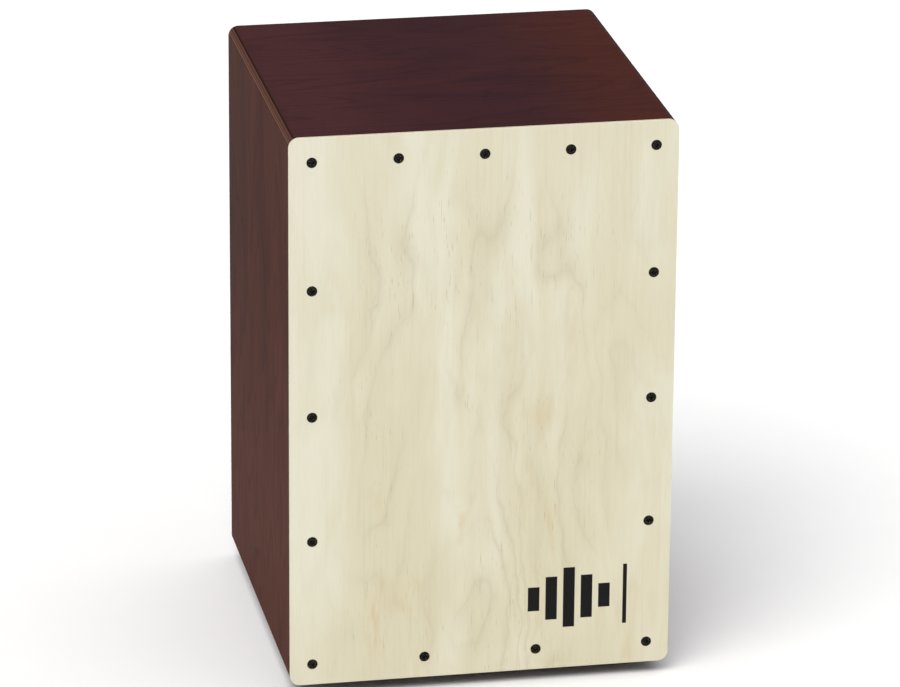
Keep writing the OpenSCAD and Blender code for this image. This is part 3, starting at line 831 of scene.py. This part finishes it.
def threaded_screw(side):
    node_name = f"{side}_tension_screw"
    low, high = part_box(node_name)
    centre = middle(low, high)
    head_r = (high.x - low.x) / 2
    head_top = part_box(f"{side}_tension_washer")[0].z - WASHER_GAP
    verts, faces = [], []

    def ring(radii, z):
        """A ring of vertices at height z, evenly spread, and the number of the first one."""
        start = len(verts)
        for k, r in enumerate(radii):
            a = 2 * math.pi * k / len(radii)
            verts.append((centre.x + r * math.cos(a), centre.y + r * math.sin(a), z))
        return start

    def bridge(a, b, sides):
        for k in range(sides):
            n = (k + 1) % sides
            faces.append((a + k, a + n, b + n, b + k))

    # The head, from the bottom of the key's socket round to the bearing face.
    socket = [hexagon_radius(2 * math.pi * k / HEAD_SIDES) for k in range(HEAD_SIDES)]
    socket_mouth = [r + KEY_CHAMFER for r in socket]
    knurled = [head_r - KNURL_DEPTH * (k % 2) for k in range(HEAD_SIDES)]
    rings = [ring(radii, z) for radii, z in (
        (socket, low.z + KEY_DEPTH),
        (socket, low.z + KEY_CHAMFER),
        (socket_mouth, low.z),
        ([head_r - HEAD_CHAMFER] * HEAD_SIDES, low.z),
        ([head_r - 0.2 * HEAD_CHAMFER] * HEAD_SIDES, low.z + 0.8 * HEAD_CHAMFER),
        (knurled, low.z + 1.2 * HEAD_CHAMFER),
        (knurled, head_top - 1.25 * HEAD_RIM),
        ([head_r - 0.5 * HEAD_RIM] * HEAD_SIDES, head_top - 0.5 * HEAD_RIM),
        ([head_r - HEAD_RIM] * HEAD_SIDES, head_top),
        ([SHANK_R] * HEAD_SIDES, head_top))]
    for a, b in zip(rings, rings[1:]):
        bridge(b, a, HEAD_SIDES)
    faces.append(tuple(rings[0] + k for k in reversed(range(HEAD_SIDES))))

    # The shank: plain under the head, then threaded to the chamfered end.
    thread_start, thread_end = head_top + UNDERCUT, high.z
    step = THREAD_PITCH / STEPS_PER_PITCH
    steps = math.ceil((thread_end - thread_start) / step - 1e-6)
    previous = ring([SHANK_R] * THREAD_SIDES, head_top)
    for i in range(steps + 1):
        z = min(thread_start + i * step, thread_end)
        current = ring([thread_radius(2 * math.pi * k / THREAD_SIDES, z, thread_start, thread_end)
                        for k in range(THREAD_SIDES)], z)
        bridge(previous, current, THREAD_SIDES)
        previous = current
    faces.append(tuple(previous + k for k in range(THREAD_SIDES)))
    obj = new_piece(f"{side}_threaded_screw", verts, faces, "zinc", smooth=False)
    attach(obj, f"{side}_screw")
    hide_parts(node_name)


threaded_screw("left")
threaded_screw("right")


# ---------------------------------------------------------------- camera, light and floor

TARGET = Vector((0.0030, -0.0015, 0.2301))
CAMERA_AT = Vector((-0.7661, -3.9559, 1.6922))
CAMERA_ROLL = math.radians(0.454)
LENS_MM = 216.4

camera_data = bpy.data.cameras.new("camera")
camera_data.lens, camera_data.sensor_width = LENS_MM, 36.0
camera_data.clip_start, camera_data.clip_end = 0.05, 200.0
camera = add_to_scene(bpy.data.objects.new("camera", camera_data))
camera.location = CAMERA_AT
camera.rotation_mode = "QUATERNION"
camera.rotation_quaternion = ((TARGET - CAMERA_AT).to_track_quat("-Z", "Y")
                              @ Quaternion((0, 0, 1), CAMERA_ROLL))
bpy.context.scene.camera = camera


def sun(name, azimuth, elevation, strength, softness, colour=(1, 1, 1)):
    """A soft distant light, angles in degrees. Azimuth 0 faces the plate, and +90 the right side."""
    data = bpy.data.lights.new(name, "SUN")
    data.energy, data.angle, data.color = strength, math.radians(softness), colour
    obj = add_to_scene(bpy.data.objects.new(name, data))
    a, e = math.radians(azimuth), math.radians(elevation)
    towards = Vector((math.sin(a) * math.cos(e), -math.cos(a) * math.cos(e), math.sin(e)))
    obj.rotation_mode = "QUATERNION"
    obj.rotation_quaternion = towards.to_track_quat("Z", "Y")


sun("key", azimuth=-40, elevation=58, strength=2.2, softness=40, colour=(1.0, 0.99, 0.97))
sun("fill", azimuth=50, elevation=60, strength=0.5, softness=70, colour=(0.97, 0.985, 1.0))
sun("rim", azimuth=160, elevation=65, strength=0.7, softness=60)


def studio_world():
    """White at the horizon, behind the floor's far edge, and grey above."""
    world = bpy.data.worlds.new("studio")
    bpy.context.scene.world = world
    world.use_nodes = True
    tree = world.node_tree
    tree.nodes.clear()
    direction = tree.nodes.new("ShaderNodeTexCoord")
    split = tree.nodes.new("ShaderNodeSeparateXYZ")
    ramp = tree.nodes.new("ShaderNodeValToRGB")
    background = tree.nodes.new("ShaderNodeBackground")
    output = tree.nodes.new("ShaderNodeOutputWorld")
    tree.links.new(direction.outputs["Generated"], split.inputs[0])
    tree.links.new(split.outputs["Z"], ramp.inputs[0])
    tree.links.new(ramp.outputs["Color"], background.inputs["Color"])
    tree.links.new(background.outputs[0], output.inputs["Surface"])
    ramp.color_ramp.interpolation = "EASE"
    horizon, above = ramp.color_ramp.elements
    horizon.position, horizon.color = 0.03, (1.0, 1.0, 1.0, 1)
    above.position, above.color = 0.20, (0.33, 0.33, 0.34, 1)


studio_world()

FLOOR_RADIUS = 60.0
FLOOR_SIDES = 96


def paper_floor():
    rim = [(FLOOR_RADIUS * math.cos(a), FLOOR_RADIUS * math.sin(a), 0.0)
           for a in np.linspace(0, 2 * math.pi, FLOOR_SIDES, endpoint=False)]
    mesh = bpy.data.meshes.new("floor")
    mesh.from_pydata(rim, [], [list(range(FLOOR_SIDES))])
    paper = Graph("floor_paper", Specular_IOR_Level=0.2, Roughness=0.7)
    speck = paper.noise(paper.stretched(40, 40, 40), 3, 0.6)
    paper.set(Base_Color=paper.mix(speck, (0.86, 0.86, 0.86, 1), (0.88, 0.88, 0.875, 1)))
    mesh.materials.append(paper.material)
    add_to_scene(bpy.data.objects.new("floor", mesh))


paper_floor()

bpy.context.scene.view_settings.view_transform = "Standard"
bpy.context.scene.view_settings.look = "None"
